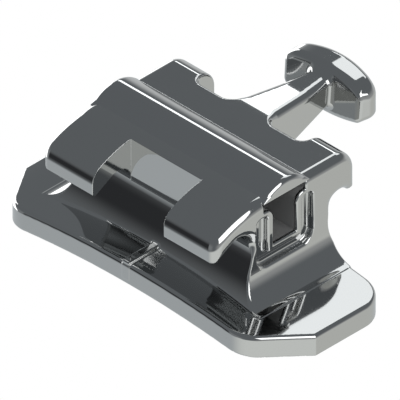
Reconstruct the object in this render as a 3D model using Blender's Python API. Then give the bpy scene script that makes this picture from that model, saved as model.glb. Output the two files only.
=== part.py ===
"""A convertible buccal tube: the metal attachment that an orthodontist bonds to a molar.

One moulded steel body holds the bonding pad, the neck, the archwire slot, two pairs of tie
wings and a hook for elastics. A thin domed cap is brazed over the slot and makes it a tube.

The shapes are worked out in millimetres, with the slot floor's centre at the origin, X along
the slot, Y towards the hook and Z up. Each finished mesh is then set in metres, with the
centre of the bonding face at the origin.
"""

import math

import bmesh
import bpy
from mathutils import Matrix

# Units
METRES_PER_MM = 0.001
WELD_DISTANCE = 0.0002

# Archwire slot, and the wider recess between its lips and the cap
SLOT_WIDTH = 0.559
SLOT_FLOOR_HEIGHT = 1.14
LIP_HEIGHT = 0.765
LIP_RADIUS = 0.19
RECESS_WIDTH = 1.02
BODY_LENGTH = 4.22

# Cap strip: a segment of a round bar, let into a shallow seat in the wings
CAP_SEAT_HEIGHT = 0.96
CAP_RISE = 0.32
CAP_RADIUS = 0.78
CAP_CENTRE_Y = 0.03
CAP_FRONT_Y = -0.575
CAP_REAR_Y = 0.625
CAP_END_ROUNDING = 0.09
BRAZE_GAP = 0.008

# Rear tie wings
WING_TOP = 1.01
REAR_WING_REACH = 1.75
REAR_WING_ROUNDING = 0.33
REAR_WING_TIP_HEIGHT = 0.26
REAR_WING_TIP_ROUNDING = 0.10
REAR_UNDERCUT_Y = 1.39
REAR_UNDERCUT_HEIGHT = -0.01
REAR_UNDERCUT_RADIUS = 0.345
REAR_NOTCH_WIDTH = 2.66
REAR_NOTCH_FLOOR_Y = 1.22
REAR_NOTCH_CORNER_RADIUS = 0.2

# Front tie wings, which curve down over the pad
FRONT_WING_CROWN_Y = -0.46
FRONT_WING_CROWN_RADIUS = 2.4
FRONT_WING_REACH = 1.72
FRONT_WING_ROUNDING = 0.28
FRONT_WING_TIP_HEIGHT = 0.27
FRONT_WING_TIP_ROUNDING = 0.07
FRONT_UNDERCUT_Y = -1.1
FRONT_UNDERCUT_HEIGHT = 0.12
FRONT_UNDERCUT_RADIUS = 0.33
FRONT_UNDERCUT_SLOPE = math.radians(20)
FRONT_CUTOUT_WIDTH = 1.74
FRONT_CUTOUT_Y = -0.79

# Neck between the wings and the pad
NECK_FRONT_RADIUS = 1.36
NECK_REAR_FOOT_Y = 1.09
NECK_END_RADIUS = 0.6
NECK_END_START_HEIGHT = -0.30
WING_END_ROUNDING = 0.15

# Groove moulded round the slot at each end of the body
END_GROOVE_WIDTH = 0.32
END_GROOVE_DEPTH = 0.13
END_GROOVE_WALL = 0.13
END_GROOVE_TOP = 0.62
END_GROOVE_CORNER_RADIUS = 0.18

# Hook: a tapered stem with a domed head across its end
STEM_ROOT_WIDTH = 0.92
STEM_HEAD_WIDTH = 0.54
STEM_ROOT_FILLET = 0.17
STEM_FALL = 0.14
STEM_FALL_START_Y = 1.3
STEM_FALL_END_Y = 2.45
STEM_ROOT_BOTTOM = -0.05
STEM_HEAD_BOTTOM = 0.35
STEM_ROUNDING = 0.1
HEAD_INNER_Y = 2.79
HEAD_FACE_WIDTH = 1.76
HEAD_FACE_BOW = 0.18
HEAD_WIDTH = 2.08
HEAD_END_Y = 3.28
HEAD_CROWN_Y = 3.62
HEAD_CORNER_RADIUS = 0.11
HEAD_TOP = 1.07
HEAD_HEIGHT = 0.85
HEAD_END_HEIGHT = 0.62
HEAD_DROOP = 0.04
HEAD_ROUNDING = 0.09

# Bonding pad, arched along its length to fit the tooth
PAD_LENGTH = 7.16
PAD_FRONT_Y = -1.78
PAD_REAR_Y = 1.09
PAD_THICKNESS = 0.42
PAD_ARCH_RADIUS = 21.3
PAD_CHAMFER_LENGTH_X = 0.74
PAD_CHAMFER_LENGTH_Y = 1.14
PAD_FRONT_CORNER_RADIUS = 0.65
PAD_REAR_CORNER_RADIUS = 0.46
PAD_TOP_ROUNDING = 0.05
CENTRE_MARK_WIDTH = 0.18
CENTRE_MARK_HEIGHT = 0.05

# Retention grid under the pad: square pylons in a shallow recess
GRID_RIM = 0.25
GRID_PITCH_X = 0.45
GRID_PITCH_Y = 0.43
GRID_COLUMNS = 15
GRID_ROWS_IN_FRONT = 3
GRID_ROWS_BEHIND = 1
PYLON_WIDTH = 0.26
GRID_DEPTH = 0.12

# Facets
ARC_STEP = math.radians(12)
ROUNDING_SEGMENTS = 4
OVERSHOOT = 0.5
CUTTER_REACH = 3

HALF_BODY = BODY_LENGTH / 2
HALF_SLOT = SLOT_WIDTH / 2
HALF_RECESS = RECESS_WIDTH / 2
PAD_UNDERSIDE = -SLOT_FLOOR_HEIGHT
PAD_TOP = PAD_UNDERSIDE + PAD_THICKNESS
PAD_CORE = PAD_UNDERSIDE + PAD_THICKNESS / 3
NECK_FRONT_Y = FRONT_UNDERCUT_Y + FRONT_UNDERCUT_RADIUS


def clear_scene():
    for obj in list(bpy.data.objects):
        bpy.data.objects.remove(obj, do_unlink=True)


def new_collection(name):
    collection = bpy.data.collections.new(name)
    bpy.context.scene.collection.children.link(collection)
    return collection


def arc(centre, radius, start, end):
    """Points on an arc, in degrees anticlockwise, with both its ends."""
    steps = max(2, math.ceil(abs(math.radians(end - start)) / ARC_STEP))
    points = []
    for i in range(steps + 1):
        angle = math.radians(start + (end - start) * i / steps)
        points.append((centre[0] + radius * math.cos(angle), centre[1] + radius * math.sin(angle)))
    return points


def rounded(outline, radii):
    """A closed outline with each corner replaced by an arc of its own radius."""
    points = []
    for i, (x, y) in enumerate(outline):
        radius = radii[i]
        if radius == 0:
            points.append((x, y))
            continue
        before, after = outline[i - 1], outline[(i + 1) % len(outline)]
        into = math.atan2(y - before[1], x - before[0])
        out = math.atan2(after[1] - y, after[0] - x)
        turn = (out - into + math.pi) % (2 * math.pi) - math.pi
        reach = radius * math.tan(abs(turn) / 2)
        side = math.copysign(1, turn)
        start = (x - reach * math.cos(into), y - reach * math.sin(into))
        centre = (start[0] - side * radius * math.sin(into), start[1] + side * radius * math.cos(into))
        first = math.degrees(into) - side * 90
        points += arc(centre, radius, first, first + math.degrees(turn))
    return points


def mirrored(points):
    """The points, and then their mirror images across the first axis in the opposite order."""
    return points + [(-x, y) for x, y in reversed(points)]


PLANES = {
    "XY": Matrix.Identity(4),
    "YZ": Matrix(((0, 0, 1, 0), (1, 0, 0, 0), (0, 1, 0, 0), (0, 0, 0, 1))),
    "XZ": Matrix(((1, 0, 0, 0), (0, 0, -1, 0), (0, 1, 0, 0), (0, 0, 0, 1))),
}


def mesh_object(name, mesh, collection):
    obj = bpy.data.objects.new(name, mesh)
    collection.objects.link(obj)
    return obj


def evaluated_copy(obj):
    """The object's mesh with its modifiers applied, in world coordinates."""
    bpy.context.view_layer.update()
    graph = bpy.context.evaluated_depsgraph_get()
    mesh = bpy.data.meshes.new_from_object(obj.evaluated_get(graph))
    mesh.transform(obj.matrix_world)
    return mesh


def extrude(name, outline, plane, low, high, collection):
    """A flat outline, as a filled 2D curve, given thickness from low to high across its plane."""
    curve = bpy.data.curves.new(name, "CURVE")
    curve.dimensions = "2D"
    curve.fill_mode = "BOTH"
    curve.extrude = (high - low) / 2
    spline = curve.splines.new("POLY")
    spline.points.add(len(outline) - 1)
    for point, (x, y) in zip(spline.points, outline):
        point.co = (x, y, 0, 1)
    spline.use_cyclic_u = True
    drawn = mesh_object(name, curve, collection)
    side = -1 if plane == "XZ" else 1
    drawn.matrix_world = PLANES[plane] @ Matrix.Translation((0, 0, side * (low + high) / 2))
    mesh = evaluated_copy(drawn)
    bpy.data.objects.remove(drawn)
    tidy(mesh)
    return mesh_object(name, mesh, collection)


def tidy(mesh):
    """Welds the seams, joins faces that lie in one plane, and turns every face outwards."""
    bm = bmesh.new()
    bm.from_mesh(mesh)
    bmesh.ops.remove_doubles(bm, verts=bm.verts, dist=WELD_DISTANCE)
    bmesh.ops.dissolve_limit(
        bm, angle_limit=math.radians(0.05), use_dissolve_boundaries=False, verts=bm.verts, edges=bm.edges
    )
    bmesh.ops.recalc_face_normals(bm, faces=bm.faces)
    bm.to_mesh(mesh)
    bm.free()


def combine(base, operation, other):
    """Joins, cuts or intersects base with other, which is used up."""
    modifier = base.modifiers.new(operation.title(), "BOOLEAN")
    modifier.operation = operation
    modifier.solver = "EXACT"
    modifier.object = other
    mesh = evaluated_copy(base)
    base.modifiers.clear()
    base.data = mesh
    bpy.data.objects.remove(other)
    tidy(base.data)


def round_edges(obj, width, chosen, segments=ROUNDING_SEGMENTS):
    """Bevels the sharp edges whose two ends satisfy chosen(x, y, z)."""
    bm = bmesh.new()
    bm.from_mesh(obj.data)
    edges = [
        edge
        for edge in bm.edges
        if len(edge.link_faces) == 2
        and edge.calc_face_angle() > math.radians(30)
        and all(chosen(*vertex.co) for vertex in edge.verts)
    ]
    bmesh.ops.bevel(
        bm, geom=edges, offset=width, offset_type="OFFSET", segments=segments,
        profile=0.5, affect="EDGES", clamp_overlap=False,
    )
    bm.to_mesh(obj.data)
    bm.free()


def slot_outline():
    """The slot, its rounded lips, the recess above them and the cap's seat, open at the top."""
    lip_centre_y = HALF_SLOT + LIP_RADIUS
    lip_start = LIP_HEIGHT - LIP_RADIUS
    half = [(HALF_SLOT, 0)]
    half += arc((lip_centre_y, lip_start), LIP_RADIUS, 180, 90)
    half += [(HALF_RECESS, LIP_HEIGHT), (HALF_RECESS, CAP_SEAT_HEIGHT)]
    above = WING_TOP + OVERSHOOT
    front = [(CAP_FRONT_Y, above), (CAP_FRONT_Y, CAP_SEAT_HEIGHT)]
    rear = [(CAP_REAR_Y, CAP_SEAT_HEIGHT), (CAP_REAR_Y, above)]
    return half + rear + front + [(-y, z) for y, z in reversed(half)]


def stock_outline():
    """The wings and what lies between and under them, before the undercuts, across the slot."""
    crown_centre = (FRONT_WING_CROWN_Y, WING_TOP - FRONT_WING_CROWN_RADIUS)
    inner_radius = FRONT_WING_CROWN_RADIUS - FRONT_WING_ROUNDING
    shoulder_y = -FRONT_WING_REACH + FRONT_WING_ROUNDING
    lean = math.degrees(math.acos((shoulder_y - FRONT_WING_CROWN_Y) / inner_radius))
    shoulder_z = crown_centre[1] + inner_radius * math.sin(math.radians(lean))
    rear_shoulder = (REAR_WING_REACH - REAR_WING_ROUNDING, WING_TOP - REAR_WING_ROUNDING)

    points = [(REAR_WING_REACH, PAD_CORE)]
    points += arc(rear_shoulder, REAR_WING_ROUNDING, 0, 90)
    points += arc(crown_centre, FRONT_WING_CROWN_RADIUS, 90, lean)
    points += arc((shoulder_y, shoulder_z), FRONT_WING_ROUNDING, lean, 180)[1:]
    points.append((-FRONT_WING_REACH, PAD_CORE))
    return points


def rear_undercut_outline():
    """What is cut away behind the neck, from the rear wing's rounded tip down to the pad."""
    far = REAR_WING_REACH + OVERSHOOT
    low = PAD_CORE - OVERSHOOT
    tip = (REAR_WING_REACH - REAR_WING_TIP_ROUNDING, REAR_WING_TIP_HEIGHT + REAR_WING_TIP_ROUNDING)
    drop = (REAR_WING_TIP_HEIGHT - REAR_UNDERCUT_HEIGHT) / REAR_UNDERCUT_RADIUS
    points = [(far, low), (far, tip[1])]
    points += arc(tip, REAR_WING_TIP_ROUNDING, 0, -90)
    points += arc(
        (REAR_UNDERCUT_Y, REAR_UNDERCUT_HEIGHT), REAR_UNDERCUT_RADIUS, math.degrees(math.asin(drop)), 180
    )
    points += [(NECK_REAR_FOOT_Y, PAD_TOP), (NECK_REAR_FOOT_Y, low)]
    return points


def front_undercut_outline():
    """What is cut away before the neck, from the front wing's rounded tip down to the pad."""
    far = -FRONT_WING_REACH - OVERSHOOT
    low = PAD_CORE - OVERSHOOT
    slope = math.degrees(FRONT_UNDERCUT_SLOPE)
    tip = (-FRONT_WING_REACH + FRONT_WING_TIP_ROUNDING, FRONT_WING_TIP_HEIGHT + FRONT_WING_TIP_ROUNDING)
    neck_centre = (NECK_FRONT_Y - NECK_FRONT_RADIUS, FRONT_UNDERCUT_HEIGHT)
    foot = math.degrees(math.asin((PAD_CORE - FRONT_UNDERCUT_HEIGHT) / NECK_FRONT_RADIUS))
    points = [(far, low), (neck_centre[0] + NECK_FRONT_RADIUS * math.cos(math.radians(foot)), low)]
    points += arc(neck_centre, NECK_FRONT_RADIUS, foot, 0)
    points += arc((FRONT_UNDERCUT_Y, FRONT_UNDERCUT_HEIGHT), FRONT_UNDERCUT_RADIUS, 0, 90 + slope)[1:]
    points += arc(tip, FRONT_WING_TIP_ROUNDING, slope - 90, -180)
    points.append((far, tip[1]))
    return points


def flare_outline():
    """The neck seen along Y: upright ends that flare out into the pad."""
    flare = arc(
        (HALF_BODY + NECK_END_RADIUS, NECK_END_START_HEIGHT), NECK_END_RADIUS, 180, 260
    )
    return mirrored([(HALF_BODY, 0)] + flare + [(flare[-1][0], PAD_CORE)])


def end_groove_outline():
    """A U round the slot, in the plane of the body's end."""
    inner = HALF_SLOT + END_GROOVE_WALL
    outer = inner + END_GROOVE_WIDTH
    corners = [
        (outer, END_GROOVE_TOP),
        (inner, END_GROOVE_TOP),
        (inner, -END_GROOVE_WALL),
        (-inner, -END_GROOVE_WALL),
        (-inner, END_GROOVE_TOP),
        (-outer, END_GROOVE_TOP),
        (-outer, -END_GROOVE_WALL - END_GROOVE_WIDTH),
        (outer, -END_GROOVE_WALL - END_GROOVE_WIDTH),
    ]
    small = END_GROOVE_CORNER_RADIUS / 3
    return rounded(corners, [0, 0, small, small, 0, 0, END_GROOVE_CORNER_RADIUS, END_GROOVE_CORNER_RADIUS])


def rear_notch_outline():
    """The gap between the rear wings, seen from above."""
    half = REAR_NOTCH_WIDTH / 2
    far = REAR_WING_REACH + OVERSHOOT
    radius = REAR_NOTCH_CORNER_RADIUS
    corners = [(half, far), (-half, far), (-half, REAR_NOTCH_FLOOR_Y), (half, REAR_NOTCH_FLOOR_Y)]
    return rounded(corners, [0, 0, radius, radius])


def make_stem(collection):
    """The hook's stem: its side view and its plan, intersected."""
    root_y = CAP_REAR_Y + BRAZE_GAP
    end_y = HEAD_INNER_Y + HEAD_ROUNDING
    slope = (STEM_HEAD_BOTTOM - STEM_ROOT_BOTTOM) / (HEAD_INNER_Y - REAR_NOTCH_FLOOR_Y)
    steps = 2 * math.ceil((STEM_FALL_END_Y - STEM_FALL_START_Y) / 0.25)
    side = [
        (root_y, STEM_ROOT_BOTTOM - slope * (REAR_NOTCH_FLOOR_Y - root_y)),
        (end_y, STEM_HEAD_BOTTOM),
        (end_y, WING_TOP - STEM_FALL),
    ]
    for i in range(steps + 1):
        share = i / steps
        y = STEM_FALL_END_Y + (STEM_FALL_START_Y - STEM_FALL_END_Y) * share
        side.append((y, WING_TOP - STEM_FALL * (1 + math.cos(math.pi * share)) / 2))
    side.append((root_y, WING_TOP))
    stem = extrude("stem", side, "YZ", -HALF_BODY / 2, HALF_BODY / 2, collection)

    half_root, half_head = STEM_ROOT_WIDTH / 2, STEM_HEAD_WIDTH / 2
    wall = REAR_NOTCH_FLOOR_Y
    half = [(half_head, end_y), (half_root, wall + STEM_ROOT_FILLET)]
    half += arc((half_root + STEM_ROOT_FILLET, wall + STEM_ROOT_FILLET), STEM_ROOT_FILLET, 180, 270)[1:]
    half += [(half_root + 2 * STEM_ROOT_FILLET, wall), (half_root + 2 * STEM_ROOT_FILLET, root_y)]
    plan = extrude("stem_plan", mirrored(half), "XY", -CUTTER_REACH, CUTTER_REACH, collection)
    combine(stem, "INTERSECT", plan)
    round_edges(stem, STEM_ROUNDING, lambda x, y, z: y > wall - 0.001 and abs(x) > half_head / 2)
    return stem


def bow(centre_y, half_width, sagitta, facing):
    """An arc across the YZ plane that bulges towards facing, 1 for +Y or -1 for -Y."""
    radius = (half_width**2 + sagitta**2) / (2 * sagitta)
    sweep = math.degrees(math.asin(half_width / radius))
    middle = 90 * facing
    return arc((0, centre_y - facing * radius), radius, middle - sweep, middle + sweep)


def head_outline():
    """The hook's head from above: a D, its flat side bowed to the stem and its ends splayed."""
    front = bow(HEAD_INNER_Y, HEAD_FACE_WIDTH / 2, HEAD_FACE_BOW, -1)
    back = bow(HEAD_CROWN_Y, HEAD_WIDTH / 2, HEAD_CROWN_Y - HEAD_END_Y, 1)
    radii = [0] * (len(front) + len(back))
    for corner in (0, len(front) - 1, len(front), len(radii) - 1):
        radii[corner] = HEAD_CORNER_RADIUS
    return rounded(front + back, radii)


def make_head(collection):
    """The head: its plan given thickness, thinner towards its ends, with every edge rounded."""
    head = extrude("head", head_outline(), "XY", HEAD_TOP - HEAD_HEIGHT, HEAD_TOP, collection)
    round_edges(head, HEAD_ROUNDING, lambda x, y, z: True)
    middle = HEAD_TOP - HEAD_HEIGHT / 2
    for vertex in head.data.vertices:
        side = (2 * vertex.co.x / HEAD_WIDTH) ** 2
        thinning = 1 - (1 - HEAD_END_HEIGHT / HEAD_HEIGHT) * side
        vertex.co.z = middle - HEAD_DROOP * side + (vertex.co.z - middle) * thinning
    return head


def arch_height(x):
    """How far the arched bonding face lies below its centre."""
    return PAD_ARCH_RADIUS - math.sqrt(PAD_ARCH_RADIUS**2 - x * x)


def arch_outline(top, bottom):
    """A band that follows the arch, between two heights at its middle, seen along Y."""
    columns = GRID_COLUMNS + 2
    edges = [(i - columns / 2) * GRID_PITCH_X for i in range(columns + 1)]
    level = arch_height(GRID_PITCH_X / 2)
    lower = [(x, bottom + level - arch_height(x)) for x in edges]
    upper = [(x, top + level - arch_height(x)) for x in reversed(edges)]
    return lower + upper


def pad_outline(inset=0.0):
    """The pad seen from above, with chamfered front corners and rounded rear ones."""
    half = PAD_LENGTH / 2 - inset
    front, rear = PAD_FRONT_Y + inset, PAD_REAR_Y - inset
    lean = math.atan2(PAD_CHAMFER_LENGTH_X, PAD_CHAMFER_LENGTH_Y)
    cut_y = PAD_CHAMFER_LENGTH_Y - inset * math.tan(lean / 2)
    cut_x = cut_y * math.tan(lean)
    corners = [
        (half - cut_x, front),
        (half, front + cut_y),
        (half, rear),
        (-half, rear),
        (-half, front + cut_y),
        (-half + cut_x, front),
    ]
    front_radius = max(PAD_FRONT_CORNER_RADIUS - inset, 0.05)
    rear_radius = max(PAD_REAR_CORNER_RADIUS - inset, 0.05)
    return rounded(corners, [front_radius, 0, rear_radius, rear_radius, 0, front_radius])


def make_pad(collection):
    """The arched plate, with its centre mark on top and the retention grid underneath."""
    band = arch_outline(PAD_TOP, PAD_UNDERSIDE)
    pad = extrude("pad", band, "XZ", PAD_FRONT_Y - OVERSHOOT, PAD_REAR_Y + OVERSHOOT, collection)
    plan = extrude("pad_plan", pad_outline(), "XY", -CUTTER_REACH, CUTTER_REACH, collection)
    combine(pad, "INTERSECT", plan)
    middle = PAD_UNDERSIDE + PAD_THICKNESS / 2
    round_edges(pad, PAD_TOP_ROUNDING, lambda x, y, z: z > middle - arch_height(x), segments=2)

    half_mark = CENTRE_MARK_WIDTH / 2
    mark_outline = [
        (half_mark, PAD_CORE),
        (half_mark, PAD_TOP + CENTRE_MARK_HEIGHT),
        (-half_mark, PAD_TOP + CENTRE_MARK_HEIGHT),
        (-half_mark, PAD_CORE),
    ]
    mark = extrude("centre_mark", mark_outline, "XZ", PAD_FRONT_Y, FRONT_CUTOUT_Y, collection)
    combine(pad, "UNION", mark)

    grid = extrude(
        "grid", arch_outline(PAD_UNDERSIDE + GRID_DEPTH, PAD_UNDERSIDE - OVERSHOOT), "XZ",
        PAD_FRONT_Y - OVERSHOOT, PAD_REAR_Y + OVERSHOOT, collection,
    )
    field = extrude("field", pad_outline(GRID_RIM), "XY", -CUTTER_REACH, CUTTER_REACH, collection)
    combine(grid, "INTERSECT", field)
    pylons = make_pylons(collection)
    combine(grid, "DIFFERENCE", pylons)
    combine(pad, "DIFFERENCE", grid)
    return pad


def make_pylons(collection):
    """Square posts at the grid's pitch, wherever a whole one fits inside the rim."""
    half = PYLON_WIDTH / 2
    limit_x = PAD_LENGTH / 2 - GRID_RIM - half
    chamfer_x = PAD_LENGTH / 2 - PAD_CHAMFER_LENGTH_X
    bm = bmesh.new()
    for column in range(GRID_COLUMNS):
        x = (column - (GRID_COLUMNS - 1) / 2) * GRID_PITCH_X
        for row in range(-GRID_ROWS_IN_FRONT, GRID_ROWS_BEHIND + 1):
            y = row * GRID_PITCH_Y
            past = max(0.0, abs(x) + half - chamfer_x) / PAD_CHAMFER_LENGTH_X
            front = PAD_FRONT_Y + past * PAD_CHAMFER_LENGTH_Y + 2 * GRID_RIM * (past > 0)
            if abs(x) > limit_x or y - half < front:
                continue
            place = Matrix.Translation((x, y, PAD_UNDERSIDE)) @ Matrix.Diagonal(
                (PYLON_WIDTH, PYLON_WIDTH, 2, 1)
            )
            bmesh.ops.create_cube(bm, size=1, matrix=place)
    mesh = bpy.data.meshes.new("pylons")
    bm.to_mesh(mesh)
    bm.free()
    return mesh_object("pylons", mesh, collection)


def make_body(collection):
    """The one-piece body: wings and neck, cut to shape, on the pad, with the hook."""
    body = extrude("tube_body", stock_outline(), "YZ", -HALF_BODY, HALF_BODY, collection)
    round_edges(body, WING_END_ROUNDING, lambda x, y, z: abs(abs(x) - HALF_BODY) < 0.001)
    reach = WING_END_ROUNDING
    foot = extrude(
        "foot", flare_outline(), "XZ", reach - FRONT_WING_REACH, REAR_WING_REACH - reach, collection
    )
    combine(body, "UNION", foot)
    long_half = HALF_BODY + NECK_END_RADIUS + OVERSHOOT
    for outline in (rear_undercut_outline(), front_undercut_outline()):
        undercut = extrude("undercut", outline, "YZ", -long_half, long_half, collection)
        combine(body, "DIFFERENCE", undercut)

    notch = extrude("notch", rear_notch_outline(), "XY", REAR_UNDERCUT_HEIGHT, CUTTER_REACH, collection)
    combine(body, "DIFFERENCE", notch)
    half_cut = FRONT_CUTOUT_WIDTH / 2
    cut = [
        (-FRONT_WING_REACH - OVERSHOOT, FRONT_UNDERCUT_HEIGHT),
        (FRONT_CUTOUT_Y, FRONT_UNDERCUT_HEIGHT),
        (FRONT_CUTOUT_Y, CUTTER_REACH),
        (-FRONT_WING_REACH - OVERSHOOT, CUTTER_REACH),
    ]
    cutout = extrude("cutout", cut, "YZ", -half_cut, half_cut, collection)
    combine(body, "DIFFERENCE", cutout)

    for part in (make_stem(collection), make_head(collection), make_pad(collection)):
        combine(body, "UNION", part)

    slot = extrude("slot", slot_outline(), "YZ", -long_half, long_half, collection)
    combine(body, "DIFFERENCE", slot)
    for side in (-1, 1):
        low, high = sorted((side * (HALF_BODY - END_GROOVE_DEPTH), side * (HALF_BODY + OVERSHOOT)))
        groove = extrude("groove", end_groove_outline(), "YZ", low, high, collection)
        combine(body, "DIFFERENCE", groove)
    return body


def make_cap(collection):
    """The domed strip: a slice off a round bar with rounded ends, a braze gap clear of its seat."""
    centre = (CAP_CENTRE_Y, CAP_SEAT_HEIGHT + CAP_RISE - CAP_RADIUS)
    bar = arc(centre, CAP_RADIUS, 0, 360)[:-1]
    cap = extrude("convertible_cap", bar, "YZ", -HALF_BODY, HALF_BODY, collection)
    round_edges(cap, CAP_END_ROUNDING, lambda x, y, z: abs(abs(x) - HALF_BODY) < 0.001)
    front, rear = CAP_FRONT_Y + BRAZE_GAP, CAP_REAR_Y - BRAZE_GAP
    seat = CAP_SEAT_HEIGHT + BRAZE_GAP
    kept = [(front, seat), (rear, seat), (rear, CUTTER_REACH), (front, CUTTER_REACH)]
    kept_slice = extrude("slice", kept, "YZ", -CUTTER_REACH, CUTTER_REACH, collection)
    combine(cap, "INTERSECT", kept_slice)
    return cap


def metal(name, colour, roughness):
    material = bpy.data.materials.new(name)
    material.use_nodes = True
    surface = material.node_tree.nodes["Principled BSDF"]
    surface.inputs["Base Color"].default_value = (*colour, 1)
    surface.inputs["Metallic"].default_value = 1
    surface.inputs["Roughness"].default_value = roughness
    material.diffuse_color = (*colour, 1)
    return material


def finish(obj, material):
    """Sets the finished mesh in metres above the bonding face, and shades it."""
    tidy(obj.data)
    raised = Matrix.Translation((0, 0, SLOT_FLOOR_HEIGHT))
    obj.data.transform(Matrix.Scale(METRES_PER_MM, 4) @ raised)
    obj.data.materials.clear()
    obj.data.materials.append(material)
    obj.data.shade_smooth()
    obj.data.set_sharp_from_angle(angle=math.radians(30))


clear_scene()
tube = new_collection("buccal_tube")
finish(make_body(tube), metal("polished_steel", (0.72, 0.73, 0.74), 0.06))
finish(make_cap(tube), metal("cap_steel", (0.70, 0.71, 0.73), 0.08))
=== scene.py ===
import math

import bpy
import numpy as np
from mathutils import Matrix, Vector


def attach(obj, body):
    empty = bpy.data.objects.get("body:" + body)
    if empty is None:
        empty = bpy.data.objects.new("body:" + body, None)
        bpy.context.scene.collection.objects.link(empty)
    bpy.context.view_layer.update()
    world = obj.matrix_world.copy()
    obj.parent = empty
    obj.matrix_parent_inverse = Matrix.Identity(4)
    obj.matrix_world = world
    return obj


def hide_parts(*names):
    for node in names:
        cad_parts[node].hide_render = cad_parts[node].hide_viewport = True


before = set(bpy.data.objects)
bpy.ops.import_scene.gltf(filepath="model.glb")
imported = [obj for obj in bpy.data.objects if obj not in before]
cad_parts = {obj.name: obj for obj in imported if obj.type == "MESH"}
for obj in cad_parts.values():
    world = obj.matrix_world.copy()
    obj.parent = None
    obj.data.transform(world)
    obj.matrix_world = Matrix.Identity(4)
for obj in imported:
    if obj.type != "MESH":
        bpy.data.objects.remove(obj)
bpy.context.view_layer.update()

# The bonding pad is the foot of the one-piece moulding: a thin arched plate of stainless steel,
# with a raised mark down its front half for setting the tube straight on the tooth. Shapes here
# are distances in millimetres to the polished surface, measured from the slot floor's centre.
SLOT_FLOOR_HEIGHT = 1.14
PAD_HALF_LENGTH = 3.58
PAD_FRONT_Y, PAD_REAR_Y = -1.78, 1.09
PAD_THICKNESS = 0.42
PAD_ARCH_RADIUS = 21.3
PAD_CUT_DEPTH = 1.08
PAD_CUT_LEAN = math.radians(34.4)
PAD_FRONT_CORNER, PAD_SIDE_CORNER, PAD_REAR_CORNER = 0.65, 0.04, 0.56
PAD_TOP_EDGE, PAD_BOTTOM_EDGE = 0.07, 0.03
PAD_RIM = 0.25
RECESS_DEPTH = 0.12
MARK_HALF_WIDTH = 0.09
MARK_HEIGHT, MARK_ROOT = 0.05, 0.1
MARK_EDGE, MARK_FILLET = 0.025, 0.02


def arc(centre, radius, start, end):
    """The two ends of an arc, in degrees anticlockwise, the first with how far it bulges."""
    first, last = math.radians(start), math.radians(end)
    a = (centre[0] + radius * math.cos(first), centre[1] + radius * math.sin(first))
    b = (centre[0] + radius * math.cos(last), centre[1] + radius * math.sin(last))
    return [(*a, math.tan((last - first) / 4)), (*b, 0)]


def rounded(outline, radii):
    """A closed outline with each corner replaced by an arc of its own radius."""
    points = []
    for i, (x, y) in enumerate(outline):
        radius = radii[i]
        if radius == 0:
            points.append((x, y))
            continue
        before, after = outline[i - 1], outline[(i + 1) % len(outline)]
        into = math.atan2(y - before[1], x - before[0])
        out = math.atan2(after[1] - y, after[0] - x)
        turn = (out - into + math.pi) % (2 * math.pi) - math.pi
        reach = radius * math.tan(abs(turn) / 2)
        side = math.copysign(1, turn)
        start = (x - reach * math.cos(into), y - reach * math.sin(into))
        centre = (start[0] - side * radius * math.sin(into), start[1] + side * radius * math.cos(into))
        first = math.degrees(into) - side * 90
        points += arc(centre, radius, first, first + math.degrees(turn))
    return points


def inside_of(outline):
    """The signed distance to a closed outline of lines and arcs, below zero inside it."""
    points = [(*point, 0)[:3] for point in outline]
    strokes = []
    for (pa, pb, bulge), (qa, qb, _) in zip(points, points[1:] + points[:1]):
        if math.hypot(qa - pa, qb - pb) > 1e-9:
            strokes.append((pa, pb, qa - pa, qb - pb, bulge))

    # Names in a and b are the two coordinates: p of a stroke's start, e of its end as seen from
    # there, c of its centre, w of a place seen from the start, and d of it seen from the centre.
    def distance(a, b):
        a, b = np.broadcast_arrays(a, b)
        nearest = np.full(a.shape, 1e9)
        within = np.zeros(a.shape, dtype=bool)
        for pa, pb, ea, eb, bulge in strokes:
            wa, wb = a - pa, b - pb
            if eb:
                within ^= ((pb > b) != (pb + eb > b)) & (wa < wb * (ea / eb))
            if bulge == 0:
                along = np.clip((wa * ea + wb * eb) / (ea * ea + eb * eb), 0, 1)
                nearest = np.minimum(nearest, (wa - along * ea) ** 2 + (wb - along * eb) ** 2)
                continue
            side = math.copysign(1, bulge)
            rise = (1 - bulge * bulge) / (4 * bulge)
            ca, cb = ea / 2 - rise * eb, eb / 2 + rise * ea
            radius = math.hypot(ca, cb)
            da, db = wa - ca, wb - cb
            off = np.hypot(da, db)
            beside = (side * (cb * da - ca * db) >= 0) & (side * (da * (eb - cb) - db * (ea - ca)) >= 0)
            tips = np.minimum(wa * wa + wb * wb, (wa - ea) ** 2 + (wb - eb) ** 2)
            nearest = np.minimum(nearest, np.where(beside, (off - radius) ** 2, tips))
            within ^= (off < radius) & (side * (ea * wb - eb * wa) < 0)
        return np.where(within, -1, 1) * np.sqrt(nearest)

    return distance


def meet(a, b, radius):
    """Where both are inside, with the edge between them rounded."""
    u, v = np.maximum(a + radius, 0), np.maximum(b + radius, 0)
    return np.minimum(np.maximum(a, b), -radius) + np.sqrt(u * u + v * v)


def join(a, b, radius):
    """Where either is inside, with a fillet in the corner between them."""
    return -meet(-a, -b, radius)


def pad_outline(inset):
    """The pad from above, its front corners cut off, drawn so far inside its edge."""
    half = PAD_HALF_LENGTH - inset
    front, rear = PAD_FRONT_Y + inset, PAD_REAR_Y - inset
    cut_y = PAD_CUT_DEPTH - inset * math.tan(PAD_CUT_LEAN / 2)
    cut_x = cut_y * math.tan(PAD_CUT_LEAN)
    corners = [
        (half - cut_x, front), (half, front + cut_y), (half, rear),
        (-half, rear), (-half, front + cut_y), (-half + cut_x, front),
    ]
    radii = [PAD_FRONT_CORNER - inset, PAD_SIDE_CORNER, PAD_REAR_CORNER - inset]
    return rounded(corners, radii + radii[::-1])


pad_plan = inside_of(pad_outline(0.0))
recess_plan = inside_of(pad_outline(PAD_RIM))


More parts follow.
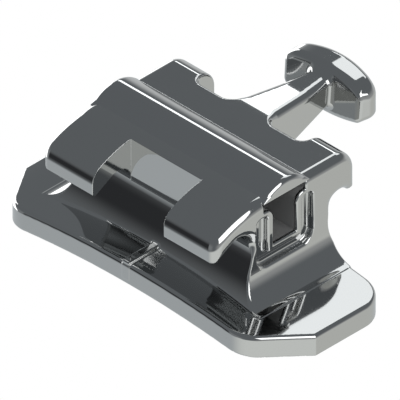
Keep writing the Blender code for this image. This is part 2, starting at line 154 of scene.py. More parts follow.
def pad(x, y, z):
    """The arched plate with its mark, hollowed underneath within its rim."""
    level = np.sqrt(x * x + (z + SLOT_FLOOR_HEIGHT + PAD_ARCH_RADIUS) ** 2) - PAD_ARCH_RADIUS
    plan = pad_plan(x, y)
    plate = meet(meet(plan, level - PAD_THICKNESS, PAD_TOP_EDGE), -level, PAD_BOTTOM_EDGE)
    mark = meet(np.abs(x) - MARK_HALF_WIDTH, level - PAD_THICKNESS - MARK_HEIGHT, MARK_EDGE)
    mark = meet(meet(mark, y, MARK_FILLET), np.maximum(plan, MARK_ROOT - level), MARK_FILLET)
    recess = np.maximum(recess_plan(x, y), level - RECESS_DEPTH)
    return meet(join(plate, mark, MARK_FILLET), -recess, PAD_BOTTOM_EDGE)


# The neck, the archwire slot and the tie wings are the middle of the moulding, in the same steel.
# Two front wings curve down over the pad, and two flat rear wings are hooked underneath to hold
# ligature ties. Each end has a U-shaped groove round the mouth of the slot.
HALF_BODY = 2.13
WING_TOP = 1.01
HALF_SLOT = 0.2795
LIP_RADIUS = 0.19
LIP_HEIGHT = 0.765
LEDGE_Y = 0.51
CAP_SEAT = 0.93
SEAT_FRONT_Y, SEAT_REAR_Y = -0.4, 0.49
NECK_FRONT_Y, FOOT_FRONT_Y = -0.777, -1.2
FRONT_REACH, REAR_REACH = 1.72, 1.75
FRONT_TIP, REAR_TIP = 0.07, 0.1
FRONT_TIP_HEIGHT, REAR_TIP_HEIGHT = 0.28, 0.275
FRONT_SHOULDER, REAR_SHOULDER = 0.33, 0.39
CROWN_Y, CROWN_RADIUS = -0.46, 2.4
INSIDE_PAD, OVER_ALL, UNDER_ALL, BEHIND_ALL = -0.95, 2.0, -1.0, 3.5
FLARE_RADIUS, FLARE_HEIGHT = 0.6, -0.28
GROOVE_DEPTH = 0.13
FRONT_GAP_HALF_WIDTH, FRONT_GAP_FLOOR = 0.87, 0.12
REAR_GAP_HALF_WIDTH, REAR_GAP_FLOOR_Y, REAR_GAP_CORNER = 1.33, 1.22, 0.2
FRONT_GAP_EDGE, REAR_GAP_EDGE, GROOVE_BED_EDGE = 0.01, 0.05, 0.05
NECK_ROUNDING, END_ROUNDING = 0.035, 0.19
ROUNDING_START, ROUNDING_RISE = -0.05, 0.35
SLOT_EDGE, GROOVE_EDGE = 0.042, 0.045


def section_outline():
    """Across the slot: pad's foot, front neck face, front wing, rear wing, rear neck face."""
    front_foot = arc((-3.02, 0.449), 2.276, -37, -11)
    front_face = arc((NECK_FRONT_Y - 1.458, 0.192), 1.46, -7, -3)
    front_undercut = arc((-1.107, 0.12), 0.33, 0, 110)
    front_tip = arc((-FRONT_REACH + FRONT_TIP, FRONT_TIP_HEIGHT), FRONT_TIP, -70, -180)
    crown = (CROWN_Y, WING_TOP - CROWN_RADIUS)
    apart = CROWN_RADIUS - FRONT_SHOULDER
    lean = math.degrees(math.acos((-FRONT_REACH + FRONT_SHOULDER - crown[0]) / apart))
    shoulder = crown[1] + apart * math.sin(math.radians(lean))
    front_wing = arc((-FRONT_REACH + FRONT_SHOULDER, shoulder), FRONT_SHOULDER, 180, lean)
    front_wing += arc(crown, CROWN_RADIUS, lean, 90)
    rear_wing = arc((REAR_REACH - REAR_SHOULDER, WING_TOP - REAR_SHOULDER), REAR_SHOULDER, 90, 0)
    rear_tip = arc((REAR_REACH - REAR_TIP, REAR_TIP_HEIGHT), REAR_TIP, 0, -90)
    rear_undercut = arc((1.39, -0.06), 0.32, 47.2, 180)
    rear_foot = arc((3.6, -0.1), 2.54, 182, 191.4)
    front = front_foot + front_face + front_undercut + front_tip + front_wing
    rear = rear_wing + rear_tip + rear_undercut + rear_foot
    return front + rear + [(PAD_REAR_Y, INSIDE_PAD), (FOOT_FRONT_Y, INSIDE_PAD)]


def mirrored(points):
    """The points, and then their mirror images across the first axis in the opposite order."""
    points = [(*point, 0)[:3] for point in points]
    bulges = [bulge for _, _, bulge in points[:-1]]
    return points + [(-x, y, b) for (x, y, _), b in zip(reversed(points), [*reversed(bulges), 0])]


def end_outline():
    """Along the slot: upright ends that flare into the pad."""
    flare = arc((HALF_BODY + FLARE_RADIUS, FLARE_HEIGHT), FLARE_RADIUS, 180, 262)
    return mirrored([(HALF_BODY, OVER_ALL)] + flare + [(flare[-1][0], UNDER_ALL)])


def slot_outline():
    """The slot with its rounded lips, the ledges beside them and the seat for the cap."""
    lip = arc((HALF_SLOT + LIP_RADIUS, LIP_HEIGHT - LIP_RADIUS), LIP_RADIUS, 180, 90)
    half = [(HALF_SLOT, 0.0)] + lip + [(LEDGE_Y, LIP_HEIGHT), (LEDGE_Y, CAP_SEAT)]
    seat = [
        (SEAT_REAR_Y, CAP_SEAT), (SEAT_REAR_Y, OVER_ALL),
        (SEAT_FRONT_Y, OVER_ALL), (SEAT_FRONT_Y, CAP_SEAT),
    ]
    return half + seat + mirrored(half)[len(half):]


def groove_outline():
    """The U round the slot's mouth, seen from its end."""
    inner, outer = 0.42, 0.68
    top, bed, bottom = 0.66, -0.12, -0.37
    end_corner, inner_corner, outer_corner = 0.09, 0.05, 0.24
    corners = [
        (outer, top), (inner, top), (inner, bed), (-inner, bed),
        (-inner, top), (-outer, top), (-outer, bottom), (outer, bottom),
    ]
    upper = [end_corner, end_corner]
    return rounded(corners, upper + [inner_corner, inner_corner] + upper + [outer_corner, outer_corner])


def rear_gap_outline():
    """The gap between the rear wings, from above."""
    half, floor = REAR_GAP_HALF_WIDTH, REAR_GAP_FLOOR_Y
    corners = [(half, BEHIND_ALL), (-half, BEHIND_ALL), (-half, floor), (half, floor)]
    return rounded(corners, [0, 0, REAR_GAP_CORNER, REAR_GAP_CORNER])


section = inside_of(section_outline())
ends = inside_of(end_outline())
slot = inside_of(slot_outline())
groove = inside_of(groove_outline())
rear_gap_plan = inside_of(rear_gap_outline())


def wings(x, y, z):
    """The neck and the four wings, with the gaps between them. The wings' ends are rounder."""
    share = np.clip((z - ROUNDING_START) / ROUNDING_RISE, 0, 1)
    rounding = NECK_ROUNDING + (END_ROUNDING - NECK_ROUNDING) * share * share * (3 - 2 * share)
    body = meet(section(y, z), ends(x, z), rounding)
    rear_gap = np.maximum(rear_gap_plan(x, y), -z)
    front_gap = np.maximum(np.abs(x) - FRONT_GAP_HALF_WIDTH, y - NECK_FRONT_Y)
    front_gap = np.maximum(front_gap, FRONT_GAP_FLOOR - z)
    return meet(meet(body, -rear_gap, REAR_GAP_EDGE), -front_gap, FRONT_GAP_EDGE)


def hollows(x, y, z):
    """The slot and the grooves round its mouths."""
    return slot(y, z), meet(groove(y, z), HALF_BODY - GROOVE_DEPTH - np.abs(x), GROOVE_BED_EDGE)


# The hook for elastics, moulded with the rest in the same steel: a tapered stem that leaves the
# neck between the rear wings, and a domed head across its end that keeps the elastic on.
STEM_ROOT_Y, STEM_HEAD_Y = 1.22, 2.8
STEM_HALF_WIDTH, STEM_NARROWING, STEM_FILLET = 0.46, 0.19, 0.17
STEM_UNDERSIDE, STEM_UNDERSIDE_RISE, STEM_LOWER_EDGE = -0.05, 0.40, 0.07
STEM_UPPER_EDGE, STEM_UPPER_EDGE_GROWTH, STEM_EDGE_RUN = 0.05, 0.11, 0.3
STEM_INSIDE_NECK_Y, STEM_INSIDE_HEAD = 0.7, 0.25
STEM_ROOT_HALF_WIDTH = 0.9
SLOPE_Y, SLOPE_EVEN_Y, SLOPE_EASING_Y = 1.25, 1.45, 2.25
SLOPE, SLOPE_EASE = 0.08, 0.2
HEAD_FACE_Y, HEAD_CROWN_Y = 2.99, 3.58
HEAD_BACK_RADIUS = 3.3
HEAD_HALF_LENGTH = 0.904
HEAD_TOP, HEAD_BOTTOM = 1.085, 0.14
HEAD_FACE_DRAFT, HEAD_MIDDLE_HEIGHT = 0.085, 0.55
HEAD_END_SLANT, HEAD_END_Y = 0.28, 2.94
HEAD_BEND_RADIUS = 3
HEAD_END_DROOP, HEAD_DROOP_X = 0.9, 0.65
HEAD_CORNER, HEAD_FACE_CORNER = 0.22, 0.09
HEAD_TOP_EDGE, HEAD_FACE_EDGE, HEAD_BOTTOM_EDGE = 0.14, 0.15, 0.12


def stem(x, y, z):
    """The stem and its filleted root. Its top leaves the wings level and slopes to the head."""
    along = (y - STEM_ROOT_Y) / (STEM_HEAD_Y - STEM_ROOT_Y)
    half = STEM_HALF_WIDTH - STEM_NARROWING * np.clip(along, 0, 1.2)
    plan = join(np.abs(x) - half, y - STEM_ROOT_Y, STEM_FILLET)
    into, out_of = np.clip(y - SLOPE_Y, 0, SLOPE_EASE), np.clip(y - SLOPE_EASING_Y, 0, SLOPE_EASE)
    even = np.clip(y - SLOPE_EVEN_Y, 0, SLOPE_EASING_Y - SLOPE_EVEN_Y)
    fall = into * into / (2 * SLOPE_EASE) + even + out_of - out_of * out_of / (2 * SLOPE_EASE)
    top = WING_TOP - SLOPE * fall
    bottom = STEM_UNDERSIDE + STEM_UNDERSIDE_RISE * along
    edge = STEM_UPPER_EDGE + STEM_UPPER_EDGE_GROWTH * np.clip((y - SLOPE_Y) / STEM_EDGE_RUN, 0, 1)
    bar = meet(meet(plan, z - top, edge), bottom - z, STEM_LOWER_EDGE)
    reach = np.maximum(y - STEM_HEAD_Y - STEM_INSIDE_HEAD, STEM_INSIDE_NECK_Y - y)
    return np.maximum(bar, np.maximum(reach, np.abs(x) - STEM_ROOT_HALF_WIDTH))


def head(x, y, z):
    """The head: a D from above, its flat side to the stem, thinner towards its ends."""
    face = HEAD_FACE_Y + HEAD_FACE_DRAFT * (z - HEAD_MIDDLE_HEIGHT) - y
    back = np.hypot(x, y - HEAD_CROWN_Y + HEAD_BACK_RADIUS) - HEAD_BACK_RADIUS
    tips = np.abs(x) - HEAD_HALF_LENGTH - HEAD_END_SLANT * (y - HEAD_END_Y)
    plan = meet(meet(back, tips, HEAD_CORNER), face, HEAD_FACE_CORNER)
    bend = x * x / (2 * HEAD_BEND_RADIUS)
    droop = bend + HEAD_END_DROOP * np.maximum(np.abs(x) - HEAD_DROOP_X, 0) ** 2
    top, bottom = z - HEAD_TOP + droop, HEAD_BOTTOM + bend - z
    upper = np.maximum(meet(plan, top, HEAD_TOP_EDGE), meet(face, top, HEAD_FACE_EDGE))
    return meet(upper, bottom, HEAD_BOTTOM_EDGE)


# Metal injection moulding makes the pad, neck, wings and hook as a single piece, with small radii
# everywhere from sintering and tumbling. One skin is drawn over all of them here, finest where an
# edge or a corner needs it. The steel is electropolished, and only the slot's walls stay dull.
HEAD_FILLET, FOOT_FILLET = 0.13, 0.03
HOOK_SPLIT_Y, PAD_SPLIT_Z = 1.9, -0.66
SLOT_WALL_NEARNESS, SLOT_WALL_END_X = 0.02, 2.06
HAZE_SCALE, HAZE_DETAIL, HAZE_SHARE = 900, 4, 0.4


def graded(start, *runs):
    """Grid lines from the start on, in runs that each end at a place and have a step."""
    lines = [start]
    for end, step in runs:
        while lines[-1] < end:
            lines.append(lines[-1] + step)
    return np.array(lines)


def both_sides(lines):
    """Grid lines on one side of the middle, and the same ones on the other."""
    return np.concatenate([-lines[::-1], lines])


def skin(distance, xs, ys, zs):
    """Corners, faces and normals of the surface where the distance is nought."""
    field = distance(xs[:, None, None], ys[None, :, None], zs[None, None, :])
    field = np.broadcast_to(field, (len(xs), len(ys), len(zs)))
    solid = field < 0
    count = np.zeros(tuple(n - 1 for n in solid.shape), dtype=int)
    shifts = [(i, j, k) for i in (0, 1) for j in (0, 1) for k in (0, 1)]
    nx, ny, nz = count.shape
    for i, j, k in shifts:
        count += solid[i:nx + i, j:ny + j, k:nz + k]
    cells = np.argwhere((count > 0) & (count < len(shifts)))
    number = np.full(count.shape, -1, dtype=int)
    number[tuple(cells.T)] = np.arange(len(cells))

    # A cell's corner of the skin is the mean of the places where its edges cross the surface.
    total, hits = np.zeros((len(cells), 3)), np.zeros(len(cells))
    for shift in shifts:
        for axis in range(3):
            if shift[axis]:
                continue
            near, far = cells + shift, cells + tuple(shift[a] + (a == axis) for a in range(3))
            near_value, far_value = field[tuple(near.T)], field[tuple(far.T)]
            cross = (near_value < 0) != (far_value < 0)
            share = np.where(cross, near_value / np.where(cross, near_value - far_value, 1), 0)
            near_point = np.stack([xs[near[:, 0]], ys[near[:, 1]], zs[near[:, 2]]], axis=1)
            far_point = np.stack([xs[far[:, 0]], ys[far[:, 1]], zs[far[:, 2]]], axis=1)
            crossing = near_point + (far_point - near_point) * share[:, None]
            total += np.where(cross[:, None], crossing, 0)
            hits += cross
    points = total / hits[:, None]

    # Each edge that goes in or out of the solid gives a face between the four cells round it.
    faces = []
    for axis in range(3):
        u, v = (axis + 1) % 3, (axis + 2) % 3
        low, high = [slice(None)] * 3, [slice(None)] * 3
        low[axis], high[axis] = slice(0, -1), slice(1, None)
        here, there = solid[tuple(low)], solid[tuple(high)]
        for rising in (True, False):
            spots = np.argwhere(here & ~there if rising else ~here & there)
            keep = np.all([(spots[:, a] > 0) & (spots[:, a] < solid.shape[a] - 1) for a in (u, v)], axis=0)
            spots = spots[keep]
            ring = []
            for du, dv in ((1, 1), (0, 1), (0, 0), (1, 0)):
                cell = spots.copy()
                cell[:, u] -= du
                cell[:, v] -= dv
                ring.append(number[tuple(cell.T)])
            faces.append(np.stack(ring if rising else ring[::-1], axis=1))
    faces = np.concatenate(faces)

    # Two rounds bring the corners onto the surface, and the last slope gives the normals.
    step, stride, rounds = 0.005, 0.9, 2
    for turn in range(rounds + 1):
        x, y, z = points.T
        slope = np.stack([
            distance(x + step, y, z) - distance(x - step, y, z),
            distance(x, y + step, z) - distance(x, y - step, z),
            distance(x, y, z + step) - distance(x, y, z - step),
        ], axis=1) / (2 * step)
        size = np.linalg.norm(slope, axis=1, keepdims=True)
        if turn < rounds:
            points = points - stride * slope * distance(x, y, z)[:, None] / np.maximum(size, 0.5) ** 2
    return points, faces, slope / np.maximum(size, 1e-6)


def metal_piece(name, surface, chosen, material):
    """A piece of the object from some faces of a skin, in metres above the bonding face."""
    points, faces, normals = surface
    used, faces = np.unique(faces[chosen], return_inverse=True)
    places = (points[used] + (0, 0, SLOT_FLOOR_HEIGHT)) / 1000
    mesh = bpy.data.meshes.new(name)
    mesh.from_pydata(places.tolist(), [], faces.reshape(-1, 4).tolist())
    mesh.materials.append(material)
    mesh.shade_smooth()
    mesh.normals_split_custom_set_from_vertices(normals[used].tolist())
    piece = bpy.data.objects.new(name, mesh)
    bpy.context.scene.collection.objects.link(piece)
    return piece


def moulding_shape(x, y, z):
    """The whole moulding: pad, neck, wings and hook run together, less the slot and grooves."""
    body = np.minimum(wings(x, y, z), stem(x, y, z))
    body = join(body, head(x, y, z), HEAD_FILLET)
    body = join(body, pad(x, y, z), FOOT_FILLET)
    channel, ring = hollows(x, y, z)
    return meet(meet(body, -channel, SLOT_EDGE), -ring, GROOVE_EDGE)


def feed(socket, value):
    """Links a node's input to another node's output, or sets it to a plain value."""
    if isinstance(value, bpy.types.NodeSocket):
        socket.id_data.links.new(value, socket)
    else:
        socket.default_value = value


def steel_finish(name, colour, roughness, metallic=1):
    """Steel with a faint haze, as tumbling leaves it: its roughness is a little uneven."""
    material = bpy.data.materials.new(name)
    material.use_nodes = True
    nodes = material.node_tree.nodes
    place = nodes.new("ShaderNodeTexCoord")
    haze = nodes.new("ShaderNodeTexNoise")
    feed(haze.inputs["Vector"], place.outputs["Object"])
    feed(haze.inputs["Scale"], HAZE_SCALE)
    feed(haze.inputs["Detail"], HAZE_DETAIL)
    uneven = nodes.new("ShaderNodeMapRange")
    feed(uneven.inputs["Value"], haze.outputs["Fac"])
    feed(uneven.inputs["To Min"], roughness * (1 - HAZE_SHARE))
    feed(uneven.inputs["To Max"], roughness * (1 + HAZE_SHARE))
    surface = nodes["Principled BSDF"]
    feed(surface.inputs["Base Color"], (*colour, 1))
    feed(surface.inputs["Metallic"], metallic)
    feed(surface.inputs["Roughness"], uneven.outputs["Result"])
    return material


steel = steel_finish("polished_steel", (0.5, 0.505, 0.505), 0.05)
unpolished = steel_finish("slot_steel", (0.46, 0.46, 0.46), 0.5, metallic=0.6)
moulding = skin(
    moulding_shape,
    both_sides(graded(
        0.0113, (0.55, 0.0226), (0.78, 0.04), (0.85, 0.022), (0.885, 0.007), (1.4, 0.022), (1.88, 0.04),
        (2.2, 0.019), (2.8, 0.04), (3.64, 0.027),
    )),
    graded(-1.8613, (-0.8, 0.026), (-0.76, 0.007), (1.15, 0.026), (2.7, 0.022), (3.66, 0.017)),
    graded(-1.4807, (-1.08, 0.03), (-0.62, 0.022), (-0.2, 0.034), (1.13, 0.022)),
)
face_x, face_y, face_z = moulding[0][moulding[1]].mean(axis=1).T
in_slot = (np.abs(slot(face_y, face_z)) < SLOT_WALL_NEARNESS) & (np.abs(face_x) < SLOT_WALL_END_X)
is_hook = face_y > HOOK_SPLIT_Y
is_pad = (face_z < PAD_SPLIT_Z) & ~is_hook
is_middle = ~is_pad & ~is_hook & ~in_slot
for name, chosen, finish in (
    ("bonding_pad", is_pad, steel), ("wings", is_middle, steel), ("hook", is_hook, steel),
    ("slot_walls", in_slot, unpolished),
):
    part_of_tube = metal_piece(name, moulding, chosen, finish)
    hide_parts("tube_body")
    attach(part_of_tube, "root")


# The retention pylons are rows of small square posts of the same steel, moulded under the pad,
# which the adhesive flows between and grips. They follow the arch of the bonding face and stop
# short of the rim and the cut corners.
POST_WIDTH = 0.26
POST_ROOT = 0.02
POST_ROUNDING = 0.02
post_sizes = {
    "Columns": 15, "Rows": 5, "Pitch X": 0.45, "Pitch Y": 0.43, "Middle Y": -0.43, "Width": POST_WIDTH,
    "Height": RECESS_DEPTH + POST_ROOT, "Arch Radius": PAD_ARCH_RADIUS,
    "Limit X": PAD_HALF_LENGTH - PAD_RIM - POST_WIDTH / 2, "Front Y": PAD_FRONT_Y,
    "Chamfer X": 0.74, "Chamfer Y": 1.14, "Pad Half Length": PAD_HALF_LENGTH, "Rim": PAD_RIM,
}
pylon_grid = bpy.data.node_groups.new("pylon_grid", "GeometryNodeTree")
pylon_grid.is_modifier = True


def named_input(name, kind):
    """An input of the pylons' tree, set through the modifier."""
    return pylon_grid.interface.new_socket(name=name, in_out="INPUT", socket_type=kind)


def wire(kind, **inputs):
    """The outputs of a new node, its inputs fed by name, with spaces as underscores."""
    node = pylon_grid.nodes.new(kind)
    for name, value in inputs.items():
        feed(next(s for s in node.inputs if s.name == name.replace("_", " ") and s.enabled), value)
    return node.outputs


def maths(operation, *values):
    """A sum, in the same tree as the first of its values that comes from a node."""
    source = next(value for value in values if isinstance(value, bpy.types.NodeSocket))
    node = source.id_data.nodes.new("ShaderNodeMath")
    node.operation = operation
    for socket, value in zip(node.inputs, values):
        feed(socket, value)
    return node.outputs[0]


pylon_grid.interface.new_socket(name="Geometry", in_out="OUTPUT", socket_type="NodeSocketGeometry")
sockets = {}
for name, size in post_sizes.items():
    sockets[name] = named_input(name, "NodeSocketInt" if isinstance(size, int) else "NodeSocketFloat")
sockets["Material"] = named_input("Material", "NodeSocketMaterial")

given = wire("NodeGroupInput")
grid = wire(
    "GeometryNodeMeshGrid", Vertices_X=given["Columns"], Vertices_Y=given["Rows"],
    Size_X=maths("MULTIPLY", given["Pitch X"], maths("SUBTRACT", given["Columns"], 1)),
    Size_Y=maths("MULTIPLY", given["Pitch Y"], maths("SUBTRACT", given["Rows"], 1)),
)["Mesh"]
grid_place = wire("ShaderNodeSeparateXYZ", Vector=wire("GeometryNodeInputPosition")[0])
column_x, row_y = grid_place["X"], maths("ADD", grid_place["Y"], given["Middle Y"])
half_width = maths("MULTIPLY", given["Width"], 0.5)
outer_x = maths("ADD", maths("ABSOLUTE", column_x), half_width)
into_corner = maths("SUBTRACT", outer_x, maths("SUBTRACT", given["Pad Half Length"], given["Chamfer X"]))
past = maths("DIVIDE", maths("MAXIMUM", into_corner, 0.0), given["Chamfer X"])
margin = maths("MULTIPLY", maths("MULTIPLY", given["Rim"], 2.0), maths("GREATER_THAN", past, 0.0))
front = maths("ADD", given["Front Y"], maths("ADD", maths("MULTIPLY", past, given["Chamfer Y"]), margin))
too_far_forward = maths("LESS_THAN", maths("SUBTRACT", row_y, half_width), front)
too_far_out = maths("GREATER_THAN", maths("ABSOLUTE", column_x), given["Limit X"])
kept = wire(
    "GeometryNodeDeleteGeometry", Geometry=grid, Selection=maths("MAXIMUM", too_far_forward, too_far_out),
)["Geometry"]
tilt = maths("ARCSINE", maths("DIVIDE", column_x, given["Arch Radius"]))
arch_height = maths("MULTIPLY", maths("COSINE", tilt), given["Arch Radius"])
bonding_level = maths("SUBTRACT", arch_height, given["Arch Radius"])
middle_z = maths("ADD", bonding_level, maths("MULTIPLY", given["Height"], 0.5))
post_place = wire("ShaderNodeCombineXYZ", X=column_x, Y=row_y, Z=middle_z)[0]
placed = wire("GeometryNodeSetPosition", Geometry=kept, Position=post_place)["Geometry"]
post_size = wire("ShaderNodeCombineXYZ", X=given["Width"], Y=given["Width"], Z=given["Height"])[0]
post = wire("GeometryNodeMeshCube", Size=post_size)["Mesh"]
turn = wire("ShaderNodeCombineXYZ", Y=tilt)[0]
posts = wire("GeometryNodeInstanceOnPoints", Points=placed, Instance=post, Rotation=turn)["Instances"]
solid_posts = wire("GeometryNodeRealizeInstances", Geometry=posts)["Geometry"]
finished = wire("GeometryNodeSetMaterial", Geometry=solid_posts, Material=given["Material"])["Geometry"]
wire("NodeGroupOutput", Geometry=finished)

scene = bpy.context.scene
drawn = bpy.data.objects.new("pylon_rows", bpy.data.meshes.new("pylon_rows"))
scene.collection.objects.link(drawn)
rule = drawn.modifiers.new("Pylon grid", "NODES")
rule.node_group = pylon_grid
for name, size in post_sizes.items():
    rule[sockets[name].identifier] = size
rule[sockets["Material"].identifier] = steel
softened = drawn.modifiers.new("Moulding radius", "BEVEL")
softened.width = POST_ROUNDING
softened.segments = 2
softened.limit_method = "ANGLE"
graph = bpy.context.evaluated_depsgraph_get()
pylon_mesh = bpy.data.meshes.new_from_object(drawn.evaluated_get(graph))
drawn.modifiers.clear()
bpy.data.objects.remove(drawn)
pylon_mesh.transform(Matrix.Scale(0.001, 4))
pylons = bpy.data.objects.new("retention_pylons", pylon_mesh)
scene.collection.objects.link(pylons)
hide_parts("tube_body")
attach(pylons, "root")


# The cap is a thin domed strip of steel, brazed into a seat in the wings. It closes the slot into
# a tube, and the orthodontist peels it off when an open slot is wanted.
CAP_MIDDLE_Y = 0.04
CAP_RADIUS = 0.74
CAP_CROWN = 1.21
CAP_LOWER_EDGE = 0.008
CAP_END_EDGE, CAP_END_EDGE_GROWTH = 0.012, 0.09
CAP_GROWTH_START, CAP_GROWTH_RISE = 0.02, 0.08
BRAZE = 0.008


def cap_shape(x, y, z):
    """The strip: flat underneath and domed above, its ends rounder towards the crown."""
    dome = np.sqrt((y - CAP_MIDDLE_Y) ** 2 + (z - CAP_CROWN + CAP_RADIUS) ** 2) - CAP_RADIUS
    strip = meet(dome, CAP_SEAT + BRAZE - z, CAP_LOWER_EDGE)
    above = np.clip((z - CAP_SEAT - CAP_GROWTH_START) / CAP_GROWTH_RISE, 0, 1)
    return meet(strip, np.abs(x) - HALF_BODY, CAP_END_EDGE + CAP_END_EDGE_GROWTH * above)


strip = skin(
    cap_shape, both_sides(graded(0.0413, (1.9, 0.08), (2.15, 0.02))),
    graded(-0.6813, (0.73, 0.021)), graded(0.9007, (1.32, 0.02)),
)
cap = metal_piece("domed_cap", strip, slice(None), steel_finish("cap_steel", (0.49, 0.495, 0.5), 0.045))
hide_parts("convertible_cap")
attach(cap, "root")


# The studio: a sheet of white paper under the tube, a room that runs from a pale floor to a dark
# ceiling, and three soft boxes and a lit sheet at the left, which light the tube and draw its
# highlights. The camera stands at the isometric angle. Lengths are in metres from here on.
LIGHT_DISTANCE = 0.2
FLOOR_REACH = 0.5
FLOOR_Z = -0.00032
scene.view_settings.view_transform = "Standard"

# The pad's ends dip 0.30 mm below its middle, and the paper lies just under them.
floor_mesh = bpy.data.meshes.new("floor")
floor_corners = [
    (FLOOR_REACH * x, FLOOR_REACH * y, FLOOR_Z) for x, y in ((-1, -1), (1, -1), (1, 1), (-1, 1))
]
floor_mesh.from_pydata(floor_corners, [], [(0, 1, 2, 3)])
floor = bpy.data.objects.new("floor", floor_mesh)
scene.collection.objects.link(floor)
paper = bpy.data.materials.new("paper")
paper.use_nodes = True
paper_nodes = paper.node_tree.nodes
sheet = paper_nodes["Principled BSDF"]
feed(sheet.inputs["Base Color"], (0.8, 0.8, 0.79, 1))
feed(sheet.inputs["Roughness"], 0.9)
white = paper_nodes.new("ShaderNodeEmission")
feed(white.inputs["Color"], (1, 1, 1, 1))
path = paper_nodes.new("ShaderNodeLightPath")
choose = paper_nodes.new("ShaderNodeMixShader")
feed(choose.inputs["Fac"], path.outputs["Is Camera Ray"])
feed(choose.inputs[1], sheet.outputs["BSDF"])
feed(choose.inputs[2], white.outputs["Emission"])
feed(paper_nodes["Material Output"].inputs["Surface"], choose.outputs["Shader"])
floor_mesh.materials.append(paper)
floor.visible_glossy = False

world = bpy.data.worlds.new("studio")
scene.world = world
world.use_nodes = True
room = world.node_tree.nodes
looked_at = room.new("ShaderNodeTexCoord").outputs["Generated"]


def lies_towards(direction):
    """How far the looked-at part of the room lies in one direction, from -1 to 1."""
    node = room.new("ShaderNodeVectorMath")
    node.operation = "DOT_PRODUCT"
    feed(node.inputs[0], looked_at)
    feed(node.inputs[1], direction)
    return node.outputs["Value"]


def eased(value, low, high, at_low, at_high):
    """A number that goes smoothly from one to another while the value goes from low to high."""
    node = room.new("ShaderNodeMapRange")
    node.interpolation_type = "SMOOTHSTEP"
    for name, number in (("From Min", low), ("From Max", high), ("To Min", at_low), ("To Max", at_high)):
        feed(node.inputs[name], number)
    feed(node.inputs["Value"], value)
    return node.outputs["Result"]


def blend(share, first, second):
    """A colour between two, the share being that of the second."""
    node = room.new("ShaderNodeMix")
    node.data_type = "RGBA"
    feed(node.inputs[0], share)
    for socket, colour in ((node.inputs[6], first), (node.inputs[7], second)):
        feed(socket, (*colour, 1) if isinstance(colour, tuple) else colour)
    return node.outputs[2]


upwards = lies_towards((0, 0, 1))
front_left = lies_towards((-0.707, -0.707, 0))
to_camera = lies_towards((0.766, -0.643, 0))
to_right = lies_towards((1, 0, 0))
to_back_left = lies_towards((-0.42, 0.907, 0))
doorway_sides = lies_towards((-0.829, 0.559, 0)), lies_towards((0.829, -0.559, 0))

is_ceiling = eased(maths("MULTIPLY_ADD", front_left, 0.22, upwards), -0.42, -0.2, 0, 1)
pale = blend(eased(to_right, -0.6, 0.6, 0, 1), (0.608, 0.644, 0.66), (0.753, 0.764, 0.725))
pale = blend(eased(to_camera, 0.1, 0.75, 0, 1), pale, (0.956, 0.98, 0.945))
near_horizon = maths("MULTIPLY", eased(upwards, 0.0, 0.4, 1, 0), eased(upwards, -0.6, -0.2, 0, 1))
behind = maths("MULTIPLY", near_horizon, eased(front_left, -0.6, 0.2, 1, 0))
back_left = maths("MULTIPLY", near_horizon, eased(to_back_left, 0.45, 0.85, 0, 1))
left_wall = maths("MULTIPLY", near_horizon, eased(front_left, 0.3, 0.75, 0, 1))
doorway = maths("MULTIPLY", *(eased(side, -0.19, -0.05, 0, 1) for side in doorway_sides))
doorway = maths("MULTIPLY", maths("MULTIPLY", doorway, near_horizon), eased(front_left, 0.3, 0.5, 0, 1))
dark = (0.181, 0.195, 0.206)
for share, colour in (
    (behind, (0.452, 0.46, 0.46)), (back_left, (0.702, 0.718, 0.718)),
    (left_wall, (0.296, 0.312, 0.32)), (doorway, (0.039, 0.0406, 0.0437)),
):
    dark = blend(share, dark, colour)
feed(room["Background"].inputs["Color"], blend(is_ceiling, pale, dark))


def bearing(azimuth, elevation):
    """The direction that lies so many degrees round from +Y towards +X, and up."""
    a, e = math.radians(azimuth), math.radians(elevation)
    return Vector((math.sin(a) * math.cos(e), math.cos(a) * math.cos(e), math.sin(e)))


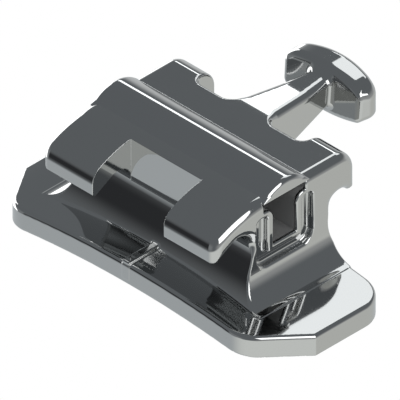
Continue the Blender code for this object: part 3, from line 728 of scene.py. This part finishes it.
def soft_box(name, azimuth, elevation, width, height, level, colour, distance=LIGHT_DISTANCE):
    """A lamp panel seen from the tube in one direction, its width and height in degrees."""
    panel = bpy.data.lights.new(name, "AREA")
    panel.shape = "RECTANGLE"
    panel.size = 2 * distance * math.tan(math.radians(width / 2))
    panel.size_y = 2 * distance * math.tan(math.radians(height / 2))
    panel.energy = level * math.pi * panel.size * panel.size_y
    panel.color = colour
    stand = bpy.data.objects.new(name, panel)
    direction = bearing(azimuth, elevation)
    stand.location = direction * distance
    stand.rotation_euler = direction.to_track_quat("Z", "Y").to_euler()
    scene.collection.objects.link(stand)


soft_box("right_box", 88, 35, 43, 41, 2.5, (1.0, 1.0, 0.99))
soft_box("back_box", -25, 41, 28, 20, 1.4, (0.98, 1.0, 1.0))
soft_box("window", -40.5, 28.9, 8, 5, 2.5, (0.98, 1.0, 1.0), 0.19)

screen_mesh = bpy.data.meshes.new("left_screen")
screen_outline = (
    (-112, -12), (-112, -28), (-60, -27), (-55, -15), (-50.5, -14), (-51, -4), (-53.5, 3), (-57, 5),
    (-60, 12), (-63, 27), (-70, 27), (-77, 19), (-86, 12), (-96, 6), (-104, -2),
)
corners = [bearing(*corner) * LIGHT_DISTANCE for corner in screen_outline]
screen_mesh.from_pydata([corner[:] for corner in corners], [], [range(len(corners))])
screen = bpy.data.objects.new("left_screen", screen_mesh)
scene.collection.objects.link(screen)
lit_paper = bpy.data.materials.new("lit_paper")
lit_paper.use_nodes = True
lit_nodes = lit_paper.node_tree.nodes
glow = lit_nodes.new("ShaderNodeEmission")
feed(glow.inputs["Strength"], 2.5)
feed(lit_nodes["Material Output"].inputs["Surface"], glow.outputs["Emission"])
screen_mesh.materials.append(lit_paper)
screen.visible_camera = False

camera_data = bpy.data.cameras.new("camera")
camera_data.type = "ORTHO"
camera_data.ortho_scale = 0.00692
camera_data.clip_start = 0.001
camera_data.clip_end = 1.0
camera = bpy.data.objects.new("camera", camera_data)
aim = Vector((0.000021, 0.000021, 0.000873))
seen_from = bearing(135, 35.264)
camera.location = aim + seen_from * 0.1
camera.rotation_euler = (-seen_from).to_track_quat("-Z", "Y").to_euler()
scene.collection.objects.link(camera)
scene.camera = camera
